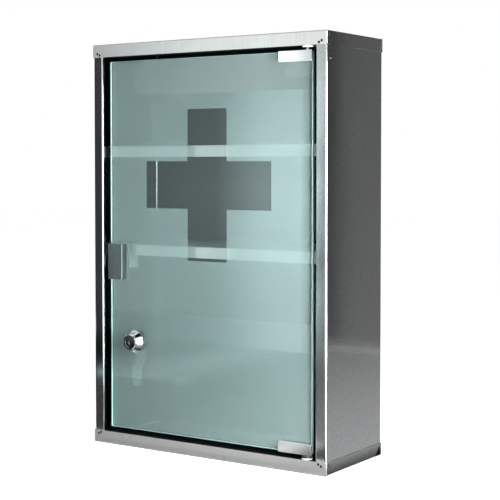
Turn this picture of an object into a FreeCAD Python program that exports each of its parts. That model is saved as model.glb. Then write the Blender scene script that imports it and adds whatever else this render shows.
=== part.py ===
import FreeCAD, Part
import Sketcher
import math
import os

# Medicine cabinet: a wall case of folded stainless sheet with one frosted glass door.
# Millimetres. X runs to the viewer's right, Y to the wall, Z up. The origin is the centre of the
# whole object's footprint, at the underside of the bottom cap.

SIZES = {
    # Case, measured over the two end caps
    "case_width": 306.0,
    "case_depth": 118.0,
    "case_height": 450.0,
    # End caps: folded trays with a lip all round
    "cap_sheet": 0.6,
    "cap_lip": 14.2,
    "cap_fold_radius": 1.2,
    "pivot_flange_depth": 18.0,
    "pivot_flange_end_gap": 0.5,
    # Slanted seams where each side lip meets the front corner tab
    "seam_gap": 0.4,
    "seam_start": 2.0,
    "seam_inset_at_fold": 3.0,
    "seam_inset_at_edge": 9.4,
    # Triangular ends of the side lips at the back, pressed in a little
    "lip_end_length": 15.0,
    "lip_end_height": 12.2,
    "lip_end_point_inset": 4.6,
    "lip_end_margin": 1.4,
    # Spot marks of the corner tabs, pressed in as deep
    "spot_diameter": 2.8,
    "spot_depth": 0.2,
    "outer_spot_inset": 6.6,
    "outer_spot_lift": 4.0,
    "inner_spot_inset": 9.8,
    "inner_spot_lift": 2.3,
    "side_spot_inset": 4.7,
    "side_spot_lift": 3.2,
    # Wrap: back, sides, stiles and their returns
    "wrap_sheet": 0.8,
    "front_bend_radius": 1.4,
    "back_bend_radius": 1.0,
    "opening_bend_radius": 0.4,
    "stile_width": 12.9,
    "stile_return": 4.4,
    # Wall holes in the back
    "wall_hole_diameter": 6.0,
    "wall_hole_spacing_across": 230.0,
    "wall_hole_spacing_up": 340.0,
    # Shelves: folded down on all four sides
    "upper_shelf_height": 336.5,
    "lower_shelf_height": 226.5,
    "shelf_sheet": 0.8,
    "shelf_lip": 12.5,
    "shelf_flange": 10.0,
    "shelf_setback": 15.0,
    "shelf_bend_radius": 1.4,
    # Door pane
    "door_recess": 4.75,
    "door_gap_lock_side": 7.8,
    "door_gap_hinge_side": 6.5,
    "door_gap_end": 5.3,
    "glass_thickness": 4.0,
    "glass_corner_radius": 1.5,
    "glass_arris": 0.4,
    # Frosting with its clear cross
    "film_thickness": 0.2,
    "film_margin": 0.8,
    "cross_span": 164.0,
    "cross_arm_width": 51.6,
    "cross_drop": 137.2,
    # Hinge clamps and their liners
    "clamp_length": 40.0,
    "clamp_reach": 10.5,
    "clamp_front": 1.6,
    "clamp_back": 3.0,
    "clamp_web": 0.8,
    "clamp_corner_radius": 1.4,
    "clamp_edge_radius": 0.4,
    "liner_thickness": 0.3,
    "liner_short": 0.8,
    "set_screw_diameter": 4.0,
    "set_screw_inset": 10.0,
    # Pivots
    "pivot_inset": 7.0,
    "pin_diameter": 4.0,
    "pin_running_clearance": 0.05,
    "pin_end": 2.5,
    "bush_collar_diameter": 11.0,
    "bush_collar_height": 1.2,
    "bush_neck_diameter": 6.5,
    "bush_neck_proud": 0.6,
    "thrust_gap": 0.2,
    # Bracket that stiffens the upper pivot
    "bracket_sheet": 1.2,
    "bracket_front_inset": 4.0,
    "bracket_width": 12.0,
    "bracket_leg": 22.0,
    "bracket_past_pivot": 8.0,
    "bracket_clearance": 0.5,
    "rivet_diameter": 2.4,
    "rivet_head_diameter": 3.6,
    "rivet_head_height": 0.6,
    "rivet_drop": 27.4,
    "rivet_inset": 8.5,
    # Handle clip
    "handle_width": 20.0,
    "handle_back_extra": 4.5,
    "handle_height": 40.0,
    "handle_drop": 40.0,
    "handle_front": 2.5,
    "handle_back": 2.0,
    "handle_web": 1.5,
    "handle_bevel": 0.4,
    "handle_screw_diameter": 3.0,
    "handle_screw_spacing": 20.0,
    # Magnetic catch under the lower shelf
    "catch_inset": 30.0,
    "catch_width": 26.0,
    "catch_height": 14.0,
    "catch_depth": 16.0,
    "catch_gap": 0.5,
    "catch_wall": 1.6,
    "catch_lip_gap": 0.5,
    "pole_proud": 0.3,
    "pole_thickness": 1.5,
    "magnet_depth": 8.0,
    "catch_screw_diameter": 3.0,
    "catch_screw_head_diameter": 6.0,
    "catch_screw_head_height": 1.6,
    "catch_screw_length": 9.0,
    "catch_screw_spacing": 14.0,
    # Key lock
    "lock_inset": 34.0,
    "lock_height": 118.2,
    "lock_head_proud": 9.5,
    "lock_head_diameter": 17.5,
    "lock_edge_bevel": 0.7,
    "lock_barrel_diameter": 16.0,
    "lock_behind_glass": 8.0,
    "lock_hole_clearance": 0.5,
    "rosette_diameter": 26.0,
    "rosette_thickness": 7.5,
    "rosette_rim": 1.5,
    "rosette_slope": 3.6,
    "gasket_thickness": 0.5,
    "lock_washer_diameter": 24.0,
    "rear_washer_thickness": 1.0,
    "nut_across_flats": 21.0,
    "nut_thickness": 3.5,
    "plug_diameter": 12.0,
    "plug_clearance": 0.05,
    "plug_recess": 0.4,
    "keyway_width": 4.2,
    "keyway_height": 6.4,
    "keyway_funnel_depth": 0.7,
    "key_slot_width": 1.4,
    "key_slot_height": 4.6,
    "key_slot_depth": 9.0,
    # Cam on the tail of the plug
    "tail_diameter": 8.0,
    "cam_gap": 0.3,
    "cam_sheet": 2.0,
    "cam_width": 13.0,
    "cam_length": 50.0,
    "cam_heel": 8.0,
    "cam_bend_start": 20.0,
    "cam_bend_end": 32.0,
    "cam_tip_clearance": 0.8,
    "cam_corner_radius": 4.0,
    "cam_screw_diameter": 4.0,
    "cam_screw_depth": 7.0,
    "cam_screw_head_diameter": 9.0,
    "cam_screw_head_height": 2.0,
    # How far every cut runs past the face it leaves
    "overrun": 1.0,
    # How near an edge has to lie to a place to be the one that is rounded there
    "edge_match": 0.02,
}

os.makedirs("parts", exist_ok=True)
doc = FreeCAD.newDocument("MedicineCabinet")
sheet = doc.addObject("Spreadsheet::Sheet", "Sizes")
for row, (alias, number) in enumerate(SIZES.items(), start=1):
    sheet.set(f"A{row}", alias)
    sheet.set(f"B{row}", str(number))
    sheet.setAlias(f"B{row}", alias)
doc.recompute()


class Length:
    """A size in millimetres together with the sheet formula that gives it."""

    def __init__(self, formula, value):
        self.formula = formula
        self.value = value

    def __add__(self, other):
        return Length(f"({self.formula} + {other.formula})", self.value + other.value)

    def __sub__(self, other):
        return Length(f"({self.formula} - {other.formula})", self.value - other.value)

    def __mul__(self, factor):
        return Length(f"({self.formula} * ({factor!r}))", self.value * factor)

    def __truediv__(self, factor):
        return Length(f"({self.formula} / ({factor!r}))", self.value / factor)

    def __neg__(self):
        return Length(f"(-{self.formula})", -self.value)


class Sizes:
    """The sheet's cells by name."""

    def __getattr__(self, name):
        return Length(f"Sizes.{name}", float(sheet.get(name)))


size = Sizes()
ZERO = Length("0", 0.0)

# Planes of the case
right = size.case_width / 2
left = -right
lock_reach = size.lock_head_proud - size.door_recess
front = (lock_reach - size.case_depth) / 2
back = (lock_reach + size.case_depth) / 2
top = size.case_height
wrap_right = right - size.cap_sheet
wrap_left = -wrap_right
wrap_front = front + size.cap_sheet
wrap_back = back - size.cap_sheet
inner_right = wrap_right - size.wrap_sheet
inner_left = -inner_right
inner_back = wrap_back - size.wrap_sheet
opening_right = wrap_right - size.stile_width
opening_left = -opening_right

# Planes of the door
glass_front = front + size.door_recess
glass_back = glass_front + size.glass_thickness
film_back = glass_back + size.film_thickness
glass_left = opening_left + size.door_gap_lock_side
glass_right = opening_right - size.door_gap_hinge_side
glass_bottom = size.cap_lip + size.door_gap_end
glass_top = top - size.cap_lip - size.door_gap_end
pivot_x = glass_right - size.pivot_inset
pivot_y = glass_front + size.glass_thickness / 2
lock_x = glass_left + size.lock_inset
lock_z = size.lock_height


def new_body(name):
    body = doc.addObject("PartDesign::Body", name)
    body.Label = name
    return body


def origin_plane(body, role):
    return next(item for item in body.Origin.OriginFeatures if item.Role == role)


def place(item, x=ZERO, y=ZERO, z=ZERO):
    item.setExpression("Placement.Base.x", x.formula)
    item.setExpression("Placement.Base.y", y.formula)
    item.setExpression("Placement.Base.z", z.formula)


def bind(sketch, kind, *where, length):
    index = sketch.addConstraint(Sketcher.Constraint(kind, *where, length.value))
    sketch.setExpression(f"Constraints[{index}]", length.formula)


def polygon(corners):
    """A closed outline through corners, each held by its distances from the sketch's origin."""

    def draw(sketch):
        first = sketch.GeometryCount
        points = [FreeCAD.Vector(x.value, y.value, 0) for x, y in corners]
        for start, end in zip(points, points[1:] + points[:1]):
            sketch.addGeometry(Part.LineSegment(start, end), False)
        for index, (x, y) in enumerate(corners):
            following = first + (index + 1) % len(corners)
            sketch.addConstraint(Sketcher.Constraint("Coincident", first + index, 2, following, 1))
            bind(sketch, "DistanceX", -1, 1, first + index, 1, length=x)
            bind(sketch, "DistanceY", -1, 1, first + index, 1, length=y)

    return draw


def rectangle(x_low, x_high, y_low, y_high):
    return polygon([(x_low, y_low), (x_high, y_low), (x_high, y_high), (x_low, y_high)])


def circle(x, y, diameter):
    def draw(sketch):
        index = sketch.GeometryCount
        centre = FreeCAD.Vector(x.value, y.value, 0)
        sketch.addGeometry(Part.Circle(centre, FreeCAD.Vector(0, 0, 1), diameter.value / 2), False)
        bind(sketch, "DistanceX", -1, 1, index, 3, length=x)
        bind(sketch, "DistanceY", -1, 1, index, 3, length=y)
        bind(sketch, "Diameter", index, length=diameter)

    return draw


def new_sketch(body, name, role, offset, outlines):
    sketch = body.newObject("Sketcher::SketchObject", name)
    sketch.AttachmentSupport = [(origin_plane(body, role), "")]
    sketch.MapMode = "FlatFace"
    sketch.setExpression("AttachmentOffset.Base.z", offset.formula)
    for draw in outlines:
        draw(sketch)
    return sketch


# A plane's sketch faces +Z, -Y or +X. A pad grows along that way and a pocket cuts against it.
FACING = {"XY_Plane": 1, "XZ_Plane": -1, "YZ_Plane": 1}


def add(body, name, role, low, high, *outlines):
    """Adds the outlines' area between two heights along the plane's axis."""
    start = low if FACING[role] > 0 else -high
    sketch = new_sketch(body, name + "_outline", role, start, outlines)
    pad = body.newObject("PartDesign::Pad", name)
    pad.Profile = sketch
    pad.setExpression("Length", (high - low).formula)
    return pad


def remove(body, name, role, low, high, *outlines):
    """Cuts the outlines' area between two heights along the plane's axis."""
    start = high if FACING[role] > 0 else -low
    sketch = new_sketch(body, name + "_outline", role, start, outlines)
    pocket = body.newObject("PartDesign::Pocket", name)
    pocket.Profile = sketch
    pocket.setExpression("Length", (high - low).formula)
    return pocket


def revolve(body, name, corners):
    """Turns an outline of (depth, radius) corners about the body's own Y axis."""
    sketch = new_sketch(body, name + "_outline", "YZ_Plane", ZERO, [polygon(corners)])
    turned = body.newObject("PartDesign::Revolution", name)
    turned.Profile = sketch
    turned.ReferenceAxis = (sketch, ["H_Axis"])
    turned.Angle = 360
    return turned


def dress(body, name, kind, length, wanted):
    """Rounds ("Fillet") or bevels ("Chamfer") the edges of the last feature that wanted picks."""
    doc.recompute()
    base = body.Tip
    names = [f"Edge{i}" for i, edge in enumerate(base.Shape.Edges, start=1) if wanted(edge)]
    dressed = body.newObject("PartDesign::" + kind, name)
    dressed.Base = (base, names)
    dressed.setExpression("Radius" if kind == "Fillet" else "Size", length.formula)
    return dressed


def near(number, length):
    return abs(number - length.value) < size.edge_match.value


def along(edge, axis):
    """Whether a straight edge runs along x, y or z."""
    if len(edge.Vertexes) != 2 or not isinstance(edge.Curve, Part.Line):
        return False
    direction = edge.Vertexes[1].Point - edge.Vertexes[0].Point
    return abs(getattr(direction, axis)) > direction.Length * math.cos(math.radians(1))


def in_plane(edge, axis, *heights):
    """Whether an edge lies flat in one of the planes at those heights."""
    low = getattr(edge.BoundBox, axis.upper() + "Min")
    high = getattr(edge.BoundBox, axis.upper() + "Max")
    return any(near(low, height) and near(high, height) for height in heights)


def at(edge, axis, *heights):
    return any(near(getattr(edge.CenterOfMass, axis), height) for height in heights)


def cylinder(name, diameter, height, x, y, z, direction):
    """A Part cylinder from a point along a direction."""
    made = doc.addObject("Part::Cylinder", name)
    made.setExpression("Radius", (diameter / 2).formula)
    made.setExpression("Height", height.formula)
    made.Placement.Rotation = FreeCAD.Rotation(FreeCAD.Vector(0, 0, 1), FreeCAD.Vector(*direction))
    place(made, x, y, z)
    return made


def box(name, x_low, x_high, y_low, y_high, z_low, z_high):
    made = doc.addObject("Part::Box", name)
    made.setExpression("Length", (x_high - x_low).formula)
    made.setExpression("Width", (y_high - y_low).formula)
    made.setExpression("Height", (z_high - z_low).formula)
    place(made, x_low, y_low, z_low)
    return made


def group(name, pieces):
    """Separate solids that share one node."""
    made = doc.addObject("Part::Compound", name)
    made.Label = name
    made.Links = pieces
    return made


def join(name, pieces):
    made = doc.addObject("Part::MultiFuse", name)
    made.Shapes = pieces
    return made


TOWARDS_FRONT = (0, -1, 0)
TOWARDS_BACK = (0, 1, 0)
UPWARDS = (0, 0, 1)
DOWNWARDS = (0, 0, -1)


def case_wrap():
    """Back, sides, stiles and stile returns, bent from one sheet."""
    body = new_body("case_wrap")
    sheet_t = size.wrap_sheet
    return_back = wrap_front + size.stile_return
    half = [
        (opening_right, return_back),
        (opening_right, wrap_front),
        (wrap_right, wrap_front),
        (wrap_right, wrap_back),
    ]
    inner_half = [
        (inner_right, inner_back),
        (inner_right, wrap_front + sheet_t),
        (opening_right + sheet_t, wrap_front + sheet_t),
        (opening_right + sheet_t, return_back),
    ]
    mirrored = [(-x, y) for x, y in reversed(half)]
    inner_mirrored = [(-x, y) for x, y in reversed(inner_half)]
    outline = polygon(half + mirrored + inner_mirrored + inner_half)
    add(body, "wrap_sheet_bent", "XY_Plane", size.cap_sheet, top - size.cap_sheet, outline)

    by_opening = (opening_right, opening_right + sheet_t)
    at_side = (wrap_right, inner_right)
    in_front = (wrap_front, wrap_front + sheet_t)
    bends = (
        ("front", size.front_bend_radius, at_side, in_front),
        ("back", size.back_bend_radius, at_side, (wrap_back, inner_back)),
        ("opening", size.opening_bend_radius, by_opening, in_front),
    )
    for name, radius, places, depths in bends:
        for side, bend, x, y in zip(("outer", "inner"), (radius + sheet_t, radius), places, depths):
            dress(
                body, f"{name}_{side}_bends", "Fillet", bend,
                lambda edge: along(edge, "z") and at(edge, "x", -x, x) and at(edge, "y", y),
            )

    across = size.wall_hole_spacing_across / 2
    up = size.wall_hole_spacing_up / 2
    middle = top / 2
    corners = [(x, z) for x in (-across, across) for z in (middle - up, middle + up)]
    holes = [circle(x, z, size.wall_hole_diameter) for x, z in corners]
    remove(body, "wall_holes", "XZ_Plane", inner_back - size.overrun, back, *holes)
    remove(
        body, "rivet_hole", "YZ_Plane", inner_right - size.overrun, right,
        circle(front + size.rivet_inset, top - size.rivet_drop, size.rivet_diameter),
    )
    return body


def cap(name, is_top):
    """A folded end tray; its front lip carries an inner flange with the pivot hole."""
    body = new_body(name)

    def level(distance):
        return top - distance if is_top else distance

    def span(outer, inner):
        """Low and high Z of a band between two distances from the cap's outside face."""
        return (level(inner), level(outer)) if is_top else (level(outer), level(inner))

    add(body, "tray", "XY_Plane", *span(ZERO, size.cap_lip), rectangle(left, right, front, back))
    dress(
        body, "folds", "Fillet", size.cap_fold_radius,
        lambda edge: along(edge, "z") or in_plane(edge, "z", level(ZERO)),
    )
    remove(
        body, "hollow", "XY_Plane", *span(size.cap_sheet, size.cap_lip + size.overrun),
        rectangle(wrap_left, wrap_right, wrap_front, wrap_back),
    )

    flange_end = opening_right - size.pivot_flange_end_gap
    flange_back = front + size.pivot_flange_depth
    flange = span(size.cap_lip - size.cap_sheet, size.cap_lip)
    add(
        body, "pivot_flange", "XY_Plane", *flange,
        rectangle(-flange_end, flange_end, wrap_front, flange_back),
    )
    remove(
        body, "bush_hole", "XY_Plane",
        *span(size.cap_lip - size.cap_sheet - size.overrun, size.cap_lip + size.overrun),
        circle(pivot_x, pivot_y, size.bush_neck_diameter),
    )

    at_fold = front + size.seam_inset_at_fold
    at_edge = front + size.seam_inset_at_edge
    seam = polygon([
        (at_fold, level(size.seam_start)),
        (at_edge, level(size.cap_lip)),
        (at_edge, level(size.cap_lip + size.overrun)),
        (at_edge + size.seam_gap, level(size.cap_lip + size.overrun)),
        (at_edge + size.seam_gap, level(size.cap_lip)),
        (at_fold + size.seam_gap, level(size.seam_start)),
    ])
    lip_end = polygon([
        (back - size.lip_end_length, level(size.lip_end_margin)),
        (back - size.lip_end_point_inset, level(size.lip_end_height)),
        (back - size.lip_end_margin, level(size.lip_end_margin)),
    ])
    side_spot_level = level(size.cap_lip - size.side_spot_lift)
    side_spot = circle(front + size.side_spot_inset, side_spot_level, size.spot_diameter)
    for side, face in (("left", left), ("right", right)):
        inner = face + size.cap_sheet if side == "left" else face - size.cap_sheet
        dimple = face + size.spot_depth if side == "left" else face - size.spot_depth
        outside = face - size.overrun if side == "left" else face + size.overrun
        for cut, reach, outlines in (("seam", inner, [seam]), ("marks", dimple, [side_spot, lip_end])):
            low, high = (outside, reach) if side == "left" else (reach, outside)
            remove(body, f"{side}_{cut}", "YZ_Plane", low, high, *outlines)

    places = (
        (size.outer_spot_inset, size.outer_spot_lift),
        (size.inner_spot_inset, size.inner_spot_lift),
    )
    spots = []
    for inset, lift in places:
        for x in (left + inset, right - inset):
            spots.append(circle(x, level(size.cap_lip - lift), size.spot_diameter))
    remove(body, "front_spots", "XZ_Plane", front - size.overrun, front + size.spot_depth, *spots)
    return body


def shelf(name, height, screw_holes):
    """A shelf plate folded down in a lip at the front and flanges at the sides and back."""
    body = new_body(name)
    shelf_front = front + size.shelf_setback
    under = height - size.shelf_sheet
    lip_back = shelf_front + size.shelf_sheet
    add(
        body, "shelf_block", "XY_Plane", height - size.shelf_flange, height,
        rectangle(inner_left, inner_right, shelf_front, inner_back),
    )
    dress(
        body, "front_bend", "Fillet", size.shelf_bend_radius,
        lambda edge: along(edge, "x") and at(edge, "y", shelf_front) and at(edge, "z", height),
    )
    remove(
        body, "shelf_hollow", "XY_Plane", height - size.shelf_flange - size.overrun, under,
        rectangle(
            inner_left + size.shelf_sheet, inner_right - size.shelf_sheet,
            lip_back, inner_back - size.shelf_sheet,
        ),
    )
    add(
        body, "front_lip", "XY_Plane", height - size.shelf_lip, height - size.shelf_flange,
        rectangle(inner_left, inner_right, shelf_front, lip_back),
    )
    if screw_holes:
        remove(body, "screw_holes", "XY_Plane", under - size.overrun, height + size.overrun, *screw_holes)
    return body


def pivot_bracket():
    """An angle on the pivot flange, riveted to the side wall, that carries the upper bush."""
    body = new_body("upper_pivot_bracket")
    flange_top = top - size.cap_lip + size.cap_sheet
    bracket_top = flange_top + size.bracket_sheet
    near_y = front + size.bracket_front_inset
    far_y = near_y + size.bracket_width
    lip_y = wrap_front + size.bracket_clearance
    return_y = wrap_front + size.stile_return + size.bracket_clearance
    outside_return = opening_right + size.wrap_sheet + size.bracket_clearance
    inside_return = opening_right - size.bracket_clearance
    end_x = pivot_x - size.bracket_past_pivot
    add(
        body, "flat_leg", "XY_Plane", flange_top, bracket_top,
        polygon([
            (inner_right, near_y), (outside_return, near_y), (outside_return, return_y),
            (inside_return, return_y), (inside_return, lip_y), (end_x, lip_y),
            (end_x, far_y), (inner_right, far_y),
        ]),
    )
    add(
        body, "wall_leg", "XY_Plane", bracket_top - size.bracket_leg, bracket_top,
        rectangle(inner_right - size.bracket_sheet, inner_right, near_y, far_y),
    )
    remove(
        body, "bush_hole", "XY_Plane", flange_top - size.overrun, bracket_top + size.overrun,
        circle(pivot_x, pivot_y, size.bush_neck_diameter),
    )
    remove(
        body, "rivet_hole", "YZ_Plane", inner_right - size.bracket_sheet - size.overrun, right,
        circle(front + size.rivet_inset, top - size.rivet_drop, size.rivet_diameter),
    )
    return body


def bracket_rivet():
    """A rivet through the side wall and the bracket, with a head on both sides."""
    body = new_body("bracket_rivet")
    grip = size.wrap_sheet + size.bracket_sheet
    head = size.rivet_head_height
    shank = size.rivet_diameter / 2
    rim = size.rivet_head_diameter / 2
    revolve(
        body, "rivet_turned",
        [
            (-head, ZERO), (-head, rim / 2), (-head / 2, rim), (ZERO, rim), (ZERO, shank),
            (grip, shank), (grip, rim), (grip + head, rim), (grip + head, ZERO),
        ],
    )
    body.Placement.Rotation = FreeCAD.Rotation(FreeCAD.Vector(0, 1, 0), FreeCAD.Vector(-1, 0, 0))
    place(body, wrap_right, front + size.rivet_inset, top - size.rivet_drop)
    return body


def pivot_bush(name, is_top):
    """A flanged bush: its collar lies on the flange and its neck passes through it."""
    seat = top - size.cap_lip if is_top else size.cap_lip
    way = UPWARDS if is_top else DOWNWARDS
    back_way = DOWNWARDS if is_top else UPWARDS
    through = size.cap_sheet + size.bush_neck_proud
    if is_top:
        through = through + size.bracket_sheet
    neck = cylinder(name + "_neck", size.bush_neck_diameter, through, pivot_x, pivot_y, seat, way)
    collar = cylinder(
        name + "_collar", size.bush_collar_diameter, size.bush_collar_height,
        pivot_x, pivot_y, seat, back_way,
    )
    blank = join(name + "_blank", [neck, collar])
    bore_start = seat - size.bush_collar_height - size.overrun if is_top else (
        seat + size.bush_collar_height + size.overrun
    )
    bore_length = size.bush_collar_height + through + size.overrun * 2
    bore_diameter = size.pin_diameter + size.pin_running_clearance * 2
    bore = cylinder(name + "_bore", bore_diameter, bore_length, pivot_x, pivot_y, bore_start, way)
    bush = doc.addObject("Part::Cut", name)
    bush.Label = name
    bush.Base = blank
    bush.Tool = bore
    return bush


def door_glass():
    body = new_body("door_glass")
    outline = rectangle(glass_left, glass_right, glass_bottom, glass_top)
    add(body, "pane", "XZ_Plane", glass_front, glass_back, outline)
    dress(body, "corners", "Fillet", size.glass_corner_radius, lambda edge: along(edge, "y"))
    dress(
        body, "arrises", "Chamfer", size.glass_arris,
        lambda edge: in_plane(edge, "y", glass_front, glass_back),
    )
    remove(
        body, "lock_hole", "XZ_Plane", glass_front - size.overrun, glass_back + size.overrun,
        lock_hole(),
    )
    return body


def lock_hole():
    return circle(lock_x, lock_z, size.lock_barrel_diameter + size.lock_hole_clearance * 2)


def frosted_film():
    """The frosting on the back of the pane, left clear in the shape of a cross."""
    body = new_body("frosted_film")
    margin = size.film_margin
    span = size.cross_span / 2
    arm = size.cross_arm_width / 2
    middle = glass_top - size.cross_drop
    cross = [
        (-arm, span), (arm, span), (arm, arm), (span, arm), (span, -arm), (arm, -arm),
        (arm, -span), (-arm, -span), (-arm, -arm), (-span, -arm), (-span, arm), (-arm, arm),
    ]
    add(
        body, "frosting", "XZ_Plane", glass_back, film_back,
        rectangle(glass_left + margin, glass_right - margin, glass_bottom + margin, glass_top - margin),
        polygon([(x, middle + rise) for x, rise in cross]),
        lock_hole(),
    )
    return body


def channel(edge, outward, reach, web_inside, web_outside, leg_front, leg_back, back_extra=ZERO):
    """Corners (depth, height) of a U over a glass edge: its legs lie on the pane and the film."""
    free = edge - reach * outward
    back_free = free - back_extra * outward
    inside = edge + web_inside * outward
    outside = edge + web_outside * outward
    front_in = glass_front - web_inside
    back_in = film_back + web_inside
    front_out = front_in - leg_front
    back_out = back_in + leg_back
    return [
        (front_out, free), (front_in, free), (front_in, inside), (back_in, inside),
        (back_in, back_free), (back_out, back_free), (back_out, outside), (front_out, outside),
    ]


def hinge_clamp(name, edge, outward):
    """A channel over the glass edge, with threaded holes at the back and the pin's hole in its web."""
    body = new_body(name)
    clamp_left = glass_right - size.clamp_length
    web_outside = size.liner_thickness + size.clamp_web
    corners = channel(
        edge, outward, size.clamp_reach, size.liner_thickness, web_outside,
        size.clamp_front, size.clamp_back,
    )
    add(body, "channel", "YZ_Plane", clamp_left, glass_right, polygon(corners))
    free = edge - size.clamp_reach * outward
    dress(
        body, "plate_corners", "Fillet", size.clamp_corner_radius,
        lambda edge_: along(edge_, "y") and at(edge_, "z", free),
    )
    face = glass_front - size.liner_thickness - size.clamp_front
    dress(body, "plate_edges", "Fillet", size.clamp_edge_radius, lambda edge_: in_plane(edge_, "y", face))
    outside = edge + web_outside * outward
    low, high = (edge, outside + size.overrun) if outward > 0 else (outside - size.overrun, edge)
    remove(body, "pin_hole", "XY_Plane", low, high, circle(pivot_x, pivot_y, size.pin_diameter))
    back_in = film_back + size.liner_thickness
    screws = [circle(x, set_screw_z(edge, outward), size.set_screw_diameter) for x in set_screw_places()]
    remove(body, "screw_holes", "XZ_Plane", back_in, back_in + size.clamp_back + size.overrun, *screws)
    return body


def set_screw_places():
    clamp_left = glass_right - size.clamp_length
    return clamp_left + size.set_screw_inset, glass_right - size.set_screw_inset


def set_screw_z(edge, outward):
    return edge - size.clamp_reach * (outward / 2)


def hinge_liners():
    """Soft strips between the clamps and the pane."""
    pieces = []
    for name, edge, outward in CLAMPS:
        body = doc.addObject("PartDesign::Body", name + "_liner")
        corners = channel(
            edge, outward, size.clamp_reach - size.liner_short, ZERO, size.liner_thickness,
            size.liner_thickness, size.liner_thickness,
        )
        liner_left = glass_right - size.clamp_length + size.liner_short
        add(body, "liner", "YZ_Plane", liner_left, glass_right, polygon(corners))
        pieces.append(body)
    return group("hinge_liners", pieces)


def hinge_set_screws():
    pieces = []
    back_in = film_back + size.liner_thickness
    for name, edge, outward in CLAMPS:
        for index, x in enumerate(set_screw_places(), start=1):
            z = set_screw_z(edge, outward)
            pieces.append(
                cylinder(
                    f"{name}_screw_{index}", size.set_screw_diameter, size.clamp_back,
                    x, back_in, z, TOWARDS_BACK,
                )
            )
    return group("hinge_set_screws", pieces)


def pivot_pin(name, edge, outward):
    """A pin fixed in the clamp's web that turns in the bush."""
    start = edge + size.liner_thickness * outward
    flange = size.door_gap_end - size.liner_thickness + size.cap_sheet
    length = flange + size.pin_end
    pin = cylinder(
        name, size.pin_diameter, length, pivot_x, pivot_y, start, UPWARDS if outward > 0 else DOWNWARDS
    )
    pin.Label = name
    return pin


def thrust_washer():
    """Carries the door on the lower bush's collar."""
    clamp_under = glass_bottom - size.liner_thickness - size.clamp_web
    washer_under = size.cap_lip + size.bush_collar_height + size.thrust_gap
    disc = cylinder(
        "washer_disc", size.bush_collar_diameter, clamp_under - washer_under,
        pivot_x, pivot_y, washer_under, UPWARDS,
    )
    bore = cylinder(
        "washer_bore", size.pin_diameter, size.door_gap_end, pivot_x, pivot_y, size.cap_lip, UPWARDS
    )
    washer = doc.addObject("Part::Cut", "thrust_washer")
    washer.Label = "thrust_washer"
    washer.Base = disc
    washer.Tool = bore
    return washer


# The handle hangs level with the catch below the lower shelf, because its back leg is the strike
handle_base = size.lower_shelf_height - size.handle_drop


def handle_corners(reach, web_inside, web_outside, leg_front, leg_back):
    corners = channel(
        glass_left, -1, reach, web_inside, web_outside, leg_front, leg_back, size.handle_back_extra,
    )
    return [(along_edge, depth) for depth, along_edge in corners]


def handle_places():
    middle = handle_base + size.handle_height / 2
    x = glass_left + size.handle_width / 2
    return [(x, middle - size.handle_screw_spacing / 2), (x, middle + size.handle_screw_spacing / 2)]


def handle_reach():
    return size.handle_width - size.handle_web - size.liner_thickness


def handle_clip():
    """A U-shaped pull over the lock-side edge of the pane; its back leg is the catch's strike."""
    body = new_body("handle_clip")
    corners = handle_corners(
        handle_reach(), size.liner_thickness, size.liner_thickness + size.handle_web,
        size.handle_front, size.handle_back,
    )
    add(body, "clip", "XY_Plane", handle_base, handle_base + size.handle_height, polygon(corners))
    face = glass_front - size.liner_thickness - size.handle_front
    dress(body, "face_bevels", "Chamfer", size.handle_bevel, lambda edge: in_plane(edge, "y", face))
    back_in = film_back + size.liner_thickness
    holes = [circle(x, z, size.handle_screw_diameter) for x, z in handle_places()]
    remove(body, "screw_holes", "XZ_Plane", back_in, back_in + size.handle_back + size.overrun, *holes)
    return body


def handle_liner():
    body = new_body("handle_liner")
    corners = handle_corners(
        handle_reach() - size.liner_short, ZERO, size.liner_thickness,
        size.liner_thickness, size.liner_thickness,
    )
    add(body, "liner", "XY_Plane", handle_base, handle_base + size.handle_height, polygon(corners))
    return body


def handle_screws():
    back_in = film_back + size.liner_thickness
    pieces = [
        cylinder(
            f"handle_screw_{index}", size.handle_screw_diameter, size.handle_back,
            x, back_in, z, TOWARDS_BACK,
        )
        for index, (x, z) in enumerate(handle_places(), start=1)
    ]
    return group("handle_screws", pieces)


# Magnetic catch: its face stands a gap behind the handle's back leg
strike_back = film_back + size.liner_thickness + size.handle_back
pole_face = strike_back + size.catch_gap
catch_front = pole_face + size.pole_proud
catch_back = catch_front + size.catch_depth
catch_x = left + size.catch_inset
catch_top = size.lower_shelf_height - size.shelf_lip - size.catch_lip_gap
catch_bottom = catch_top - size.catch_height
shelf_under = size.lower_shelf_height - size.shelf_sheet
riser_front = front + size.shelf_setback + size.shelf_sheet + size.catch_lip_gap
screw_y = (riser_front + catch_back) / 2


def catch_screw_circles():
    half = size.catch_screw_spacing / 2
    return [circle(x, screw_y, size.catch_screw_diameter) for x in (catch_x - half, catch_x + half)]


def catch_housing():
    """A block below the shelf lip with a riser up to the shelf, and a pocket for the magnet."""
    body = new_body("catch_housing")
    half = size.catch_width / 2
    add(
        body, "block_and_riser", "YZ_Plane", catch_x - half, catch_x + half,
        polygon([
            (catch_front, catch_bottom), (catch_back, catch_bottom), (catch_back, shelf_under),
            (riser_front, shelf_under), (riser_front, catch_top), (catch_front, catch_top),
        ]),
    )
    x_low, x_high, z_low, z_high = magnet_pocket()
    remove(
        body, "magnet_pocket", "XZ_Plane", catch_front - size.overrun, catch_front + size.magnet_depth,
        rectangle(x_low, x_high, z_low, z_high),
    )
    remove(
        body, "screw_holes", "XY_Plane", size.lower_shelf_height - size.catch_screw_length,
        size.lower_shelf_height, *catch_screw_circles(),
    )
    return body


def magnet_pocket():
    half = size.catch_width / 2 - size.catch_wall * 2
    return catch_x - half, catch_x + half, catch_bottom + size.catch_wall, catch_top - size.catch_wall


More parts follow.
